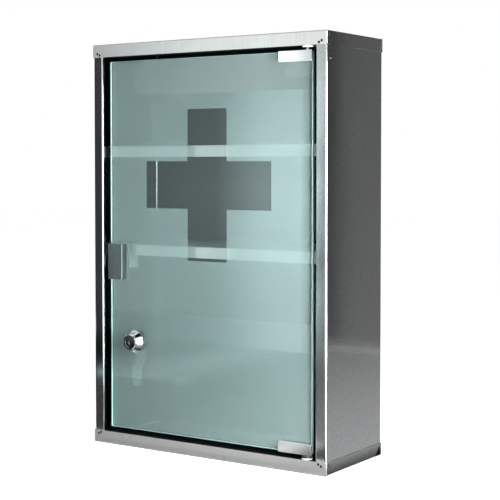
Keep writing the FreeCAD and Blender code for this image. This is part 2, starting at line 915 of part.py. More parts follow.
def catch_magnet():
    x_low, x_high, z_low, z_high = magnet_pocket()
    made = box(
        "catch_magnet", x_low, x_high, catch_front, catch_front + size.magnet_depth,
        z_low + size.pole_thickness, z_high - size.pole_thickness,
    )
    made.Label = "catch_magnet"
    return made


def catch_pole_plates():
    x_low, x_high, z_low, z_high = magnet_pocket()
    pole_back = catch_front + size.magnet_depth
    lower = box("lower_pole", x_low, x_high, pole_face, pole_back, z_low, z_low + size.pole_thickness)
    upper = box("upper_pole", x_low, x_high, pole_face, pole_back, z_high - size.pole_thickness, z_high)
    return group("catch_pole_plates", [lower, upper])


def catch_screws():
    pieces = []
    half = size.catch_screw_spacing / 2
    for index, x in enumerate((catch_x - half, catch_x + half), start=1):
        shank = cylinder(
            f"catch_shank_{index}", size.catch_screw_diameter, size.catch_screw_length,
            x, screw_y, size.lower_shelf_height, DOWNWARDS,
        )
        head = cylinder(
            f"catch_head_{index}", size.catch_screw_head_diameter, size.catch_screw_head_height,
            x, screw_y, size.lower_shelf_height, UPWARDS,
        )
        pieces.append(join(f"catch_screw_{index}", [shank, head]))
    return group("catch_screws", pieces)


# Lock pieces are drawn about the lock's axis, with depths counted from the front of the pane
pane = size.glass_thickness
lock_face = -size.lock_head_proud
lock_end = pane + size.lock_behind_glass
rosette_back = -size.gasket_thickness
rosette_front = rosette_back - size.rosette_thickness
washer_front = pane + size.film_thickness
washer_back = washer_front + size.rear_washer_thickness
nut_back = washer_back + size.nut_thickness
cam_front = lock_end + size.cam_gap
cam_back = cam_front + size.cam_sheet
barrel_radius = size.lock_barrel_diameter / 2


def on_lock_axis(item):
    place(item, lock_x, glass_front, lock_z)
    return item


def lock_housing():
    """The fixed barrel: head in front of the rosette, threaded body through the pane."""
    body = new_body("lock_housing")
    bore = size.plug_diameter / 2 + size.plug_clearance
    head = size.lock_head_diameter / 2
    bevel = size.lock_edge_bevel
    revolve(
        body, "housing_turned",
        [
            (lock_face, bore), (lock_face, head - bevel), (lock_face + bevel, head),
            (rosette_front, head), (rosette_front, barrel_radius),
            (lock_end, barrel_radius), (lock_end, bore),
        ],
    )
    return on_lock_axis(body)


def lock_rosette():
    body = new_body("lock_rosette")
    rim = size.rosette_diameter / 2
    revolve(
        body, "rosette_turned",
        [
            (rosette_back, barrel_radius), (rosette_back, rim), (rosette_back - size.rosette_rim, rim),
            (rosette_front, rim - size.rosette_slope), (rosette_front, barrel_radius),
        ],
    )
    return on_lock_axis(body)


def lock_washers():
    """A gasket under the rosette and a washer on the film."""
    pieces = []
    rim = size.lock_washer_diameter / 2
    washers = (("gasket", rosette_back, ZERO), ("rear_washer", washer_front, washer_back))
    for name, face, reverse in washers:
        body = doc.addObject("PartDesign::Body", name)
        revolve(
            body, name + "_turned",
            [(face, barrel_radius), (face, rim), (reverse, rim), (reverse, barrel_radius)],
        )
        pieces.append(on_lock_axis(body))
    return group("lock_washers", pieces)


def lock_nut():
    body = new_body("lock_nut")
    corner_radius = size.nut_across_flats / math.sqrt(3)
    turns = [math.radians(60 * step) for step in range(6)]
    corners = [(corner_radius * math.cos(turn), corner_radius * math.sin(turn)) for turn in turns]
    add(
        body, "nut", "XZ_Plane", washer_back, nut_back,
        polygon(corners), circle(ZERO, ZERO, size.lock_barrel_diameter),
    )
    return on_lock_axis(body)


def lock_plug():
    """The turning core with its keyway and the tail that carries the cam."""
    body = new_body("lock_plug")
    core = size.plug_diameter / 2
    tail = size.tail_diameter / 2
    face = lock_face + size.plug_recess
    step = lock_end + size.cam_gap
    revolve(
        body, "plug_turned",
        [(face, ZERO), (face, core), (step, core), (step, tail), (cam_back, tail), (cam_back, ZERO)],
    )
    wide = size.keyway_width / 2
    tall = size.keyway_height / 2
    remove(
        body, "key_funnel", "XZ_Plane", face - size.overrun, face + size.keyway_funnel_depth,
        polygon([(-wide, ZERO), (ZERO, -tall), (wide, ZERO), (ZERO, tall)]),
    )
    half = size.key_slot_width / 2
    rise = size.key_slot_height / 2
    remove(
        body, "key_slot", "XZ_Plane", face - size.overrun, face + size.key_slot_depth,
        rectangle(-half, half, -rise, rise),
    )
    remove(
        body, "screw_hole", "XZ_Plane", cam_back - size.cam_screw_depth, cam_back + size.overrun,
        circle(ZERO, ZERO, size.cam_screw_diameter),
    )
    return on_lock_axis(body)


def lock_cam():
    """A cranked plate that hangs down when open and turns behind the left stile's return."""
    body = new_body("lock_cam")
    half = size.cam_width / 2
    tip_front = washer_front + size.cam_tip_clearance
    tip_back = tip_front + size.cam_sheet
    add(
        body, "cranked_plate", "YZ_Plane", -half, half,
        polygon([
            (cam_front, size.cam_heel), (cam_back, size.cam_heel), (cam_back, -size.cam_bend_start),
            (tip_back, -size.cam_bend_end), (tip_back, -size.cam_length), (tip_front, -size.cam_length),
            (tip_front, -size.cam_bend_end), (cam_front, -size.cam_bend_start),
        ]),
    )
    dress(
        body, "ends", "Fillet", size.cam_corner_radius,
        lambda edge: along(edge, "y") and at(edge, "z", size.cam_heel, -size.cam_length),
    )
    remove(
        body, "hub_hole", "XZ_Plane", cam_front - size.overrun, cam_back + size.overrun,
        circle(ZERO, ZERO, size.tail_diameter),
    )
    return on_lock_axis(body)


def cam_screw():
    body = new_body("cam_screw")
    shank = size.cam_screw_diameter / 2
    head = size.cam_screw_head_diameter / 2
    start = cam_back - size.cam_screw_depth
    end = cam_back + size.cam_screw_head_height
    revolve(
        body, "screw_turned",
        [(start, ZERO), (start, shank), (cam_back, shank), (cam_back, head), (end, head), (end, ZERO)],
    )
    return on_lock_axis(body)


CLAMPS = (("upper_hinge_clamp", glass_top, 1), ("lower_hinge_clamp", glass_bottom, -1))

subparts = [
    case_wrap(),
    cap("top_cap", True),
    cap("bottom_cap", False),
    shelf("upper_shelf", size.upper_shelf_height, []),
    shelf("lower_shelf", size.lower_shelf_height, catch_screw_circles()),
    pivot_bracket(),
    bracket_rivet(),
    pivot_bush("upper_pivot_bush", True),
    pivot_bush("lower_pivot_bush", False),
    door_glass(),
    frosted_film(),
    *[hinge_clamp(name, edge, outward) for name, edge, outward in CLAMPS],
    hinge_liners(),
    hinge_set_screws(),
    pivot_pin("upper_pivot_pin", glass_top, 1),
    pivot_pin("lower_pivot_pin", glass_bottom, -1),
    thrust_washer(),
    handle_clip(),
    handle_liner(),
    handle_screws(),
    catch_housing(),
    catch_magnet(),
    catch_pole_plates(),
    catch_screws(),
    lock_housing(),
    lock_rosette(),
    lock_washers(),
    lock_nut(),
    lock_plug(),
    lock_cam(),
    cam_screw(),
]

doc.recompute()
for item in doc.Objects:
    if "Invalid" in item.State or "Error" in item.State:
        raise RuntimeError(f"{item.Label} did not build: {item.State}")
    if item.TypeId == "PartDesign::Pocket" and not item.Shape.Volume < item.BaseFeature.Shape.Volume:
        raise RuntimeError(f"{item.Label} cuts nothing")
for item in subparts:
    if item.Shape.isNull() or not item.Shape.isValid():
        raise RuntimeError(f"{item.Label} has no valid shape")
for item in subparts:
    item.Shape.exportStep(f"parts/{item.Label}.step")
    print(item.Label, len(item.Shape.Solids), round(item.Shape.Volume, 2))
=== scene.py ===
import math

import bmesh
import bpy
from mathutils import Euler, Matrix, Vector


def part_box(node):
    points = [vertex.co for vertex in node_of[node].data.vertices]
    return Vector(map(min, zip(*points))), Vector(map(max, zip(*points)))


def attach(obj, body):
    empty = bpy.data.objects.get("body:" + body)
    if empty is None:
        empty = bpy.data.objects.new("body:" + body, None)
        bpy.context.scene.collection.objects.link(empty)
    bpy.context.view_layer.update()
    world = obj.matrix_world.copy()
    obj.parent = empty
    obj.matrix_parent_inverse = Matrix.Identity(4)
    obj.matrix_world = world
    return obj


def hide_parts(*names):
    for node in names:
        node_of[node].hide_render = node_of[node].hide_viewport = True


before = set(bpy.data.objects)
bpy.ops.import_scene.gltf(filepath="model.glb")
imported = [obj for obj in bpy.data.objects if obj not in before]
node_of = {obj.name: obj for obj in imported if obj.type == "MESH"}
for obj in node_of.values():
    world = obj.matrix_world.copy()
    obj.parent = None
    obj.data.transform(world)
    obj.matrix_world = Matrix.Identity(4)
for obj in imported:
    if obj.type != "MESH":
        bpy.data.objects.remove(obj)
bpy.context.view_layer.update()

# Dressing of a small clinic medicine cabinet: metres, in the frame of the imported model.
# X runs to the viewer's right, Y to the wall, Z up.

MM = 0.001

# Photograph's view: a lens above the middle of the cabinet, tipped down a little. It stays near level,
# because the uprights are parallel in the photograph, and the shift does the rest of the framing.
CAMERA_PLACE = (802.6 * MM, -1168.8 * MM, 315.1 * MM)
CAMERA_YAW = -33.72
CAMERA_PITCH = -2.0
CAMERA_LENS = 92.5
CAMERA_SENSOR = 36.0
CAMERA_SHIFT = -0.0804

# Frosting on the back of the pane, with its clear cross
CROSS_SPAN = 164.0 * MM
CROSS_ARM = 51.6 * MM
CROSS_DROP = 137.2 * MM
LOCK_X = -97.7 * MM
LOCK_Z = 118.2 * MM
LOCK_HOLE_RADIUS = 8.5 * MM
FILM_OFF_GLASS = 0.05 * MM
FILM_THICKNESS = 0.1 * MM
HOLE_STEPS = 64

# Painted paler borders of the frosting, folds of the wrap, and marks pressed into the lips of the caps
EDGE_GLOW = 9.0 * MM
WRAP_BEND = 1.4 * MM
STILE_RETURN_X = 139.5 * MM
INSIDE_DEPTH = 0.4 * MM
CASE_MIDDLE = 225.0 * MM
PRESS_DEPTH = 0.2 * MM
PRESS_MATCH = 0.05 * MM

# How far a face has to look along an axis: squarely, as a flat side does, or less, as in a bend
SQUARELY = 0.95
MOSTLY = 0.5
LEANING = 0.3
SLIGHTLY = 0.2

# Part of a noise pattern in which most of its values lie, and inputs that several materials share
PATTERN_LOW = 0.3
PATTERN_HIGH = 0.7
METAL = {"Metallic": 1.0}
GLASS_IOR = 1.52
FROSTING_IOR = 1.45
NYLON_IOR = 1.53
RUBBER_IOR = 1.52

# Sockets of a Mix node that mixes colours
MIX_FACTOR = 0
MIX_FIRST = 6
MIX_SECOND = 7
MIX_RESULT = 2


def srgb(code):
    """Turns an sRGB hex colour into the linear values that a shader takes."""
    parts = [int(code[i:i + 2], 16) / 255 for i in (1, 3, 5)]
    linear = [c / 12.92 if c <= 0.04045 else ((c + 0.055) / 1.055) ** 2.4 for c in parts]
    return (*linear, 1.0)


def add_node(tree, kind, inputs=None, **settings):
    """Adds one shader node: its settings by name, then a value or another node's output for each input."""
    made = tree.nodes.new("ShaderNode" + kind)
    for name, value in settings.items():
        setattr(made, name, value)
    for name, value in (inputs or {}).items():
        if isinstance(value, bpy.types.NodeSocket):
            tree.links.new(value, made.inputs[name])
        else:
            made.inputs[name].default_value = value
    return made


def new_material(name):
    made = bpy.data.materials.new(name)
    made.use_nodes = True
    made.node_tree.nodes.clear()
    return made, made.node_tree


def show(tree, surface):
    add_node(tree, "OutputMaterial", {"Surface": surface})


def grain(tree, across_mm, along, detail=2.0):
    """Noise drawn out along some axes: one grain across_mm wide, stretched by the factors in along."""
    place = add_node(tree, "TexCoord").outputs["Object"]
    scale = tuple(1 / (across_mm * MM * stretch) for stretch in along)
    stretched = add_node(tree, "Mapping", {"Vector": place, "Scale": scale})
    noise = add_node(
        tree, "TexNoise", {"Vector": stretched.outputs["Vector"], "Scale": 1.0, "Detail": detail}
    )
    return noise.outputs["Fac"]


def mixed(tree, share, dark, light):
    """A colour between two hex colours, where share is a pattern or a place across the piece."""
    return add_node(
        tree, "Mix", {MIX_FACTOR: share, MIX_FIRST: srgb(dark), MIX_SECOND: srgb(light)},
        data_type="RGBA",
    ).outputs[MIX_RESULT]


def patterned(tree, pattern, tones, roughness, inputs, relief=None, clouds=None):
    """A surface that follows a pattern: its colour lies between two tones and its roughness between two
    values. Clouds, where given, carry the roughness instead. Relief is the depth of the bumps in
    millimetres and their strength. Inputs are the rest of what the shader takes."""
    middle = {"From Min": PATTERN_LOW, "From Max": PATTERN_HIGH}
    taken = dict(inputs)
    if tones:
        share = add_node(tree, "MapRange", {"Value": pattern, **middle})
        taken["Base Color"] = mixed(tree, share.outputs["Result"], *tones)
    smooth, rough = roughness
    worn = add_node(
        tree, "MapRange",
        {"Value": clouds or pattern, **middle, "To Min": smooth, "To Max": rough},
    )
    taken["Roughness"] = worn.outputs["Result"]
    if relief:
        depth_mm, strength = relief
        raised = add_node(
            tree, "Bump", {"Height": pattern, "Distance": depth_mm * MM, "Strength": strength}
        )
        taken["Normal"] = raised.outputs["Normal"]
    return add_node(tree, "BsdfPrincipled", taken).outputs["BSDF"]


# Stainless sheet, ground across the length of the cap with an abrasive belt: bright, with fine
# straight lines down the lips. The real lines are 0.1 mm wide; here they are drawn 1 mm wide to show.
def ground_stainless():
    made, tree = new_material("stainless_sheet_belt_ground")
    lines = grain(tree, 1.0, (1.0, 60.0, 60.0))
    clouds = grain(tree, 14.0, (1.0, 1.0, 1.0))
    surface = patterned(
        tree, lines, ("#cac8c7", "#d4d2d1"), (0.36, 0.44), METAL,
        relief=(0.02, 0.15), clouds=clouds,
    )
    show(tree, surface)
    return made


# Stainless sheet as it leaves the cold rolling mill, bent without further grinding: smoother and
# darker than the caps, with a faint mottle. Mill mottle is about 1 mm and is drawn 2 mm wide.
def rolled_stainless():
    made, tree = new_material("stainless_sheet_cold_rolled")
    mottle = grain(tree, 2.0, (1.0, 1.0, 1.5), 4.0)
    clouds = grain(tree, 40.0, (1.0, 1.0, 2.0))
    surface = patterned(
        tree, mottle, ("#c0c2c3", "#d0d2d3"), (0.09, 0.13), METAL,
        relief=(0.01, 0.05), clouds=clouds,
    )
    show(tree, surface)
    return made


# The same sheet's inner side, which the mill leaves pickled: dull and without direction. Its colour is
# painted far darker than the sheet as painted shade, so the case looks dim inside.
# Pickling pits are under 0.1 mm and are drawn 1.5 mm wide.
def pickled_stainless():
    made, tree = new_material("stainless_sheet_dull_inner_side_painted_shade")
    pits = grain(tree, 1.5, (1.0, 1.0, 1.0), 4.0)
    show(tree, patterned(tree, pits, ("#262c2e", "#2f3537"), (0.48, 0.58), METAL))
    return made


# Painted highlights on that sheet: bright lines up the back corners, and up the returns of the stiles
# beside the pane, in a lighter colour that stands in for the light the bends catch. Its streaks are drawn
# 0.6 mm wide.
def burnished_stainless():
    made, tree = new_material("stainless_sheet_painted_bend_highlight")
    rubs = grain(tree, 0.6, (1.0, 1.0, 20.0))
    show(tree, patterned(tree, rubs, ("#e4e6e6", "#eeeff0"), (0.12, 0.2), METAL))
    return made


# Stainless bar, milled and satin polished: the clamps, bright with short fine lines. Polishing lines
# are under 0.1 mm and are drawn 0.8 mm wide.
def satin_stainless():
    made, tree = new_material("stainless_bar_satin_polished")
    lines = grain(tree, 0.8, (30.0, 30.0, 1.0))
    show(tree, patterned(tree, lines, ("#c8caca", "#d4d6d6"), (0.1, 0.14), METAL, relief=(0.01, 0.05)))
    return made


# Stainless strip, brushed along its length before it was bent into the handle: greyer than the clamps,
# and softer to look at. Brush lines are under 0.1 mm and are drawn 0.8 mm wide.
def brushed_stainless():
    made, tree = new_material("stainless_strip_brushed")
    lines = grain(tree, 0.8, (1.0, 1.0, 30.0))
    show(tree, patterned(tree, lines, ("#c2c8c8", "#c8cece"), (0.16, 0.22), METAL, relief=(0.01, 0.08)))
    return made


# Painted shade: stainless in the floors of the marks pressed into the lips of the caps, coloured dark and
# matt for the shade in these shallow hollows. Its speckle is drawn 0.6 mm wide.
def heat_marked_stainless():
    made, tree = new_material("stainless_pressed_floor_painted_shade")
    scale = grain(tree, 0.6, (1.0, 1.0, 1.0))
    show(tree, patterned(tree, scale, ("#1c1c1e", "#2c2c2e"), (0.5, 0.65), METAL))
    return made


# Steel, zinc plated in a barrel: bright grey with a slightly cloudy bloom.
def zinc_plated_steel():
    made, tree = new_material("steel_barrel_zinc_plated")
    bloom = grain(tree, 1.5, (1.0, 1.0, 1.0), 3.0)
    show(tree, patterned(tree, bloom, ("#808280", "#989a98"), (0.24, 0.36), METAL))
    return made


# Zinc die casting, polished and chrome plated: near mirror, with hard contrast on its rings.
def chrome_plated_zinc():
    made, tree = new_material("zinc_die_casting_chrome_plated")
    haze = grain(tree, 3.0, (1.0, 1.0, 1.0))
    plating = {**METAL, "Base Color": srgb("#dfe1e2")}
    show(tree, patterned(tree, haze, None, (0.05, 0.1), plating))
    return made


def lamps_pass(tree, shader, tint):
    """Lets the light of lamps through a pane, which a refracting shader alone would stop."""
    clear = add_node(tree, "BsdfTransparent", {"Color": tint})
    ray = add_node(tree, "LightPath")
    passed = add_node(
        tree, "MixShader",
        {0: ray.outputs["Is Shadow Ray"], 1: shader, 2: clear.outputs["BSDF"]},
    )
    return passed.outputs["Shader"]


# Soda-lime float glass, cut and edge polished: clear through its face, green along its edges.
def float_glass():
    made, tree = new_material("float_glass_edge_polished")
    waves = grain(tree, 60.0, (1.0, 1.0, 1.0))
    raised = add_node(tree, "Bump", {"Height": waves, "Distance": 0.02 * MM, "Strength": 0.02})
    shader = add_node(
        tree, "BsdfPrincipled",
        {
            "Base Color": srgb("#f8fcfc"),
            "Roughness": 0.0,
            "IOR": GLASS_IOR,
            "Transmission Weight": 1.0,
            "Normal": raised.outputs["Normal"],
        },
    )
    surface = lamps_pass(tree, shader.outputs["BSDF"], srgb("#f8fcfc"))
    depth = add_node(tree, "VolumeAbsorption", {"Color": srgb("#98f6f4"), "Density": 32.0})
    add_node(tree, "OutputMaterial", {"Surface": surface, "Volume": depth.outputs["Volume"]})
    return made


# Edges of the same glass, ground on a wheel: white and matt where light strikes them, and so bright
# lines round the pane. Grinding marks are under 0.1 mm and are drawn 0.8 mm wide.
def ground_glass():
    made, tree = new_material("float_glass_edge_wheel_ground")
    marks = grain(tree, 0.8, (1.0, 1.0, 1.0))
    inputs = {"IOR": GLASS_IOR, "Transmission Weight": 0.35}
    show(tree, patterned(tree, marks, ("#dde9e7", "#eaf2f1"), (0.5, 0.6), inputs))
    return made


# The edge at the hinge, which the clamps partly cover: the green of the glass, painted darker than the
# ground edges as painted shade where it faces the stile. Its streaks are drawn 2 mm long.
def cut_glass():
    made, tree = new_material("float_glass_hinge_edge_painted_shade")
    ripples = grain(tree, 0.5, (1.0, 1.0, 4.0))
    inputs = {"IOR": GLASS_IOR, "Transmission Weight": 0.5}
    show(tree, patterned(tree, ripples, ("#7f9f9b", "#8fb0ac"), (0.3, 0.4), inputs))
    return made


def near_edges(tree):
    """1 at the upright edges of the pane, falling to 0 at EDGE_GLOW inside them."""
    low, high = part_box("frosted_film")
    place = add_node(tree, "TexCoord").outputs["Object"]
    across = add_node(tree, "SeparateXYZ", {"Vector": place}).outputs["X"]
    from_lock = {"From Min": low.x, "From Max": low.x + EDGE_GLOW, "To Min": 1.0, "To Max": 0.0}
    to_hinge = {"From Min": high.x - EDGE_GLOW, "From Max": high.x}
    by_lock = add_node(tree, "MapRange", {"Value": across, **from_lock})
    by_hinge = add_node(tree, "MapRange", {"Value": across, **to_hinge})
    nearest = add_node(
        tree, "Math", {0: by_lock.outputs["Result"], 1: by_hinge.outputs["Result"]},
        operation="MAXIMUM",
    )
    return nearest.outputs["Value"]


# Satin frosting, sandblasted into the glass: scatters the light from the front as pale sea green
# and blurs what stands behind. Beside the upright edges of the pane its colour is painted paler, a painted
# glow for light that enters at those edges. Grit pits are under 0.1 mm and are drawn 1.2 mm wide.
def sandblasted_glass():
    made, tree = new_material("glass_sandblasted_satin")
    pits = grain(tree, 1.2, (1.0, 1.0, 1.0), 3.0)
    inputs = {
        # Painted glow: the colour turns paler towards the upright edges.
        "Base Color": mixed(tree, near_edges(tree), "#e8eae9", "#ffffff"),
        "IOR": FROSTING_IOR,
        "Transmission Weight": 0.87,
    }
    surface = patterned(tree, pits, None, (0.22, 0.26), inputs, relief=(0.02, 0.05))
    show(tree, lamps_pass(tree, surface, srgb("#787e7d")))
    return made


# Nylon, injection moulded: natural off-white with a soft sheen.
def moulded_nylon():
    made, tree = new_material("nylon_injection_moulded")
    flow = grain(tree, 2.0, (1.0, 1.0, 1.0), 3.0)
    inputs = {"IOR": NYLON_IOR}
    show(tree, patterned(tree, flow, ("#e2e2dc", "#eeeee8"), (0.42, 0.55), inputs, relief=(0.02, 0.2)))
    return made


# The same nylon, coloured black as painted shade: the washer that carries the door sits in the shade round
# the pin.
def black_nylon():
    made, tree = new_material("nylon_washer_painted_shade_black")
    flow = grain(tree, 2.0, (1.0, 1.0, 1.0), 3.0)
    show(tree, patterned(tree, flow, ("#1e1e1e", "#2a2a2a"), (0.42, 0.55), {"IOR": NYLON_IOR}))
    return made


# Rubber sheet, calendered and punched: matt black with a faint bloom.
def punched_rubber():
    made, tree = new_material("rubber_sheet_punched")
    bloom = grain(tree, 1.5, (1.0, 1.0, 1.0), 3.0)
    show(tree, patterned(tree, bloom, ("#262626", "#343434"), (0.7, 0.85), {"IOR": RUBBER_IOR}))
    return made


# Ferrite, pressed and sintered: charcoal, matt, with a fine granular skin.
def sintered_ferrite():
    made, tree = new_material("ferrite_sintered")
    grit = grain(tree, 0.6, (1.0, 1.0, 1.0), 3.0)
    show(tree, patterned(tree, grit, ("#2b2b2d", "#3d3d40"), (0.55, 0.7), {}, relief=(0.03, 0.3)))
    return made


def dress(material, *names):
    """Gives CAD nodes their material."""
    for name in names:
        mesh = node_of[name].data
        mesh.materials.clear()
        mesh.materials.append(material)


def finish_faces(name, material, chosen):
    """Gives some faces of a CAD node a finish of their own: chosen tells which, from the face's middle,
    the way it faces and the node's box."""
    piece = node_of[name]
    low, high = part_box(name)
    slot = len(piece.data.materials)
    piece.data.materials.append(material)
    turn = piece.matrix_world.to_3x3()
    for face in piece.data.polygons:
        if chosen(piece.matrix_world @ face.center, turn @ face.normal, low, high):
            face.material_index = slot


def inner_side(middle, away, low, high):
    """The side of the wrap's sheet that ends up inside. Its other side faces out at the back, the sides
    and the stiles, and towards the opening where the stiles fold back."""
    out = away.x if middle.x > 0 else -away.x
    at_side = high.x - abs(middle.x) < WRAP_BEND and out > LEANING
    at_front = away.y < -LEANING and middle.y - low.y < WRAP_BEND
    at_back = away.y > LEANING and high.y - middle.y < WRAP_BEND
    by_opening = out < -LEANING and abs(abs(middle.x) - STILE_RETURN_X) < WRAP_BEND
    return not (at_side or at_front or at_back or by_opening)


def back_corner(middle, away, low, high):
    """The inner side of the two bends beside the back."""
    out = away.x if middle.x > 0 else -away.x
    return out < -SLIGHTLY and away.y < -SLIGHTLY and middle.y > 0


def stile_return(middle, away, low, high):
    """The faces of the stiles' returns that look at the pane."""
    out = away.x if middle.x > 0 else -away.x
    return out < -SQUARELY and abs(abs(middle.x) - STILE_RETURN_X) < WRAP_BEND / 2


def side_lip(middle, away, low, high):
    """The outside of the caps' side lips, which the grinding belt doesn't reach."""
    out = away.x if middle.x > 0 else -away.x
    return out > SQUARELY and high.x - abs(middle.x) < INSIDE_DEPTH


def inside_of_cap(middle, away, low, high):
    """The inner side of the caps' sheet, and the flange with the pivot, which lies inside."""
    beside = high.x - abs(middle.x)
    before = middle.y - low.y
    behind = high.y - middle.y
    outer = low.z if middle.z < CASE_MIDDLE else high.z
    return min(beside, before, behind, abs(middle.z - outer)) > INSIDE_DEPTH


def pressed_in(middle, away, low, high):
    """The floors of the pressed marks, a little below the outside of the lips."""
    beside = high.x - abs(middle.x)
    return abs(beside - PRESS_DEPTH) < PRESS_MATCH or abs(middle.y - low.y - PRESS_DEPTH) < PRESS_MATCH


def pressed_in_front(middle, away, low, high):
    """The same near the front, where only the small round marks are."""
    return middle.y < 0 and pressed_in(middle, away, low, high)


def pane_edge(middle, away, low, high):
    """The edges of the pane, with their arrises."""
    return abs(away.y) < SQUARELY


def hinge_edge(middle, away, low, high):
    """The edge of the pane at the hinge."""
    return away.x > MOSTLY


def new_piece(name, mesh_builder, material, body):
    """Makes a mesh piece that rides on a CAD body."""
    mesh = bpy.data.meshes.new(name)
    bm = bmesh.new()
    mesh_builder(bm)
    bmesh.ops.recalc_face_normals(bm, faces=bm.faces)
    bm.to_mesh(mesh)
    bm.free()
    mesh.materials.append(material)
    piece = bpy.data.objects.new(name, mesh)
    bpy.context.scene.collection.objects.link(piece)
    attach(piece, body)
    return piece


def closed_line(bm, points):
    """Edges of a closed outline."""
    corners = [bm.verts.new(point) for point in points]
    return [bm.edges.new((a, b)) for a, b in zip(corners, corners[1:] + corners[:1])]


def frosting_sheet(bm):
    """A thin sheet behind the pane with the cross and the lock's hole left out."""
    low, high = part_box("frosted_film")
    y = low.y + FILM_OFF_GLASS
    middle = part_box("door_glass")[1].z - CROSS_DROP
    outer = [(low.x, low.z), (high.x, low.z), (high.x, high.z), (low.x, high.z)]
    arm = CROSS_ARM / 2
    span = CROSS_SPAN / 2
    quarter = [(arm, span), (arm, arm), (span, arm)]
    cross = []
    for turn in range(4):
        side = math.radians(-90 * turn)
        for x, z in quarter:
            turned_x = x * math.cos(side) - z * math.sin(side)
            turned_z = x * math.sin(side) + z * math.cos(side)
            cross.append((turned_x, middle + turned_z))
    steps = [2 * math.pi * step / HOLE_STEPS for step in range(HOLE_STEPS)]
    hole = [
        (LOCK_X + LOCK_HOLE_RADIUS * math.cos(a), LOCK_Z + LOCK_HOLE_RADIUS * math.sin(a))
        for a in steps
    ]
    edges = []
    for outline in (outer, cross, hole):
        edges += closed_line(bm, [(x, y, z) for x, z in outline])
    bmesh.ops.triangle_fill(bm, edges=edges, use_beauty=True)
    grown = bmesh.ops.extrude_face_region(bm, geom=bm.faces[:])
    moved = [item for item in grown["geom"] if isinstance(item, bmesh.types.BMVert)]
    bmesh.ops.translate(bm, verts=moved, vec=(0, FILM_THICKNESS, 0))


def dress_nodes():
    ground = ground_stainless()
    rolled = rolled_stainless()
    satin = satin_stainless()
    zinc = zinc_plated_steel()
    chrome = chrome_plated_zinc()
    nylon = moulded_nylon()
    rubber = punched_rubber()
    dress(ground, "top_cap", "bottom_cap", "upper_shelf", "lower_shelf")
    dress(rolled, "case_wrap")
    # Painted shade: the inner sides of the wrap and of the caps take a colour far darker than the sheet.
    pickled = pickled_stainless()
    finish_faces("case_wrap", pickled, inner_side)
    # Painted highlights: a lighter colour up the back corners and the returns of the stiles.
    burnished = burnished_stainless()
    finish_faces("case_wrap", burnished, back_corner)
    finish_faces("case_wrap", burnished, stile_return)
    finish_faces("top_cap", rolled, side_lip)
    finish_faces("bottom_cap", rolled, side_lip)
    finish_faces("top_cap", pickled, inside_of_cap)
    finish_faces("bottom_cap", pickled, inside_of_cap)
    # Painted shade in the floors of the pressed marks.
    heat_marked = heat_marked_stainless()
    finish_faces("top_cap", heat_marked, pressed_in_front)
    finish_faces("bottom_cap", heat_marked, pressed_in)
    dress(satin, "upper_hinge_clamp", "lower_hinge_clamp")
    dress(brushed_stainless(), "handle_clip")
    dress(
        zinc, "upper_pivot_bracket", "bracket_rivet", "upper_pivot_pin", "lower_pivot_pin",
        "hinge_set_screws", "handle_screws", "catch_pole_plates", "catch_screws", "lock_cam",
        "cam_screw",
    )
    dress(chrome, "lock_housing", "lock_rosette", "lock_nut", "lock_plug")
    dress(nylon, "upper_pivot_bush", "lower_pivot_bush", "catch_housing")
    # Painted shade: the thrust washer is coloured black.
    dress(black_nylon(), "thrust_washer")
    dress(rubber, "hinge_liners", "handle_liner", "lock_washers")
    dress(sintered_ferrite(), "catch_magnet")
    dress(float_glass(), "door_glass")
    finish_faces("door_glass", ground_glass(), pane_edge)
    # Painted shade: the hinge edge of the pane takes a darker colour.
    finish_faces("door_glass", cut_glass(), hinge_edge)
    satin_glass = sandblasted_glass()
    dress(satin_glass, "frosted_film")
    sheet = new_piece("frosting_sheet", frosting_sheet, satin_glass, "door")
    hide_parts("frosted_film")


# Studio: a white floor and white surroundings, soft lamps, and cards that only metal and glass show
FLOOR_SIZE = 12.0
FLOOR_LIFT = 0.82
AMBIENT = 0.2
BACKGROUND = 1.0


def white_to_sight(tree, ray):
    """1 for rays that look at the surroundings, from the lens, off metal or through glass, and 0 for
    those that bring light to a matt surface."""
    seen = add_node(
        tree, "Math",
        {0: ray.outputs["Is Camera Ray"], 1: ray.outputs["Is Glossy Ray"]}, operation="ADD",
    )
    looking = add_node(
        tree, "Math",
        {0: seen.outputs["Value"], 1: ray.outputs["Is Transmission Ray"]},
        operation="ADD", use_clamp=True,
    )
    undiffused = add_node(
        tree, "Math", {0: ray.outputs["Diffuse Depth"], 1: 0.5}, operation="LESS_THAN",
    )
    both = add_node(
        tree, "Math",
        {0: looking.outputs["Value"], 1: undiffused.outputs["Value"]}, operation="MULTIPLY",
    )
    return both.outputs["Value"]


def set_world():
    world = bpy.data.worlds.new("white_studio")
    bpy.context.scene.world = world
    world.use_nodes = True
    tree = world.node_tree
    tree.nodes.clear()
    ray = add_node(tree, "LightPath")
    strength = add_node(
        tree, "MapRange",
        {"Value": white_to_sight(tree, ray), "To Min": AMBIENT, "To Max": BACKGROUND},
    )
    light = add_node(
        tree, "Background", {"Color": srgb("#ffffff"), "Strength": strength.outputs["Result"]}
    )
    add_node(tree, "OutputWorld", {"Surface": light.outputs["Background"]})


def flat_stage(name, corners, material):
    """A flat stage piece, such as the floor or a card beside the camera."""
    mesh = bpy.data.meshes.new(name)
    bm = bmesh.new()
    bm.faces.new([bm.verts.new(corner) for corner in corners])
    bm.to_mesh(mesh)
    bm.free()
    mesh.materials.append(material)
    made = bpy.data.objects.new(name, mesh)
    bpy.context.scene.collection.objects.link(made)
    return made


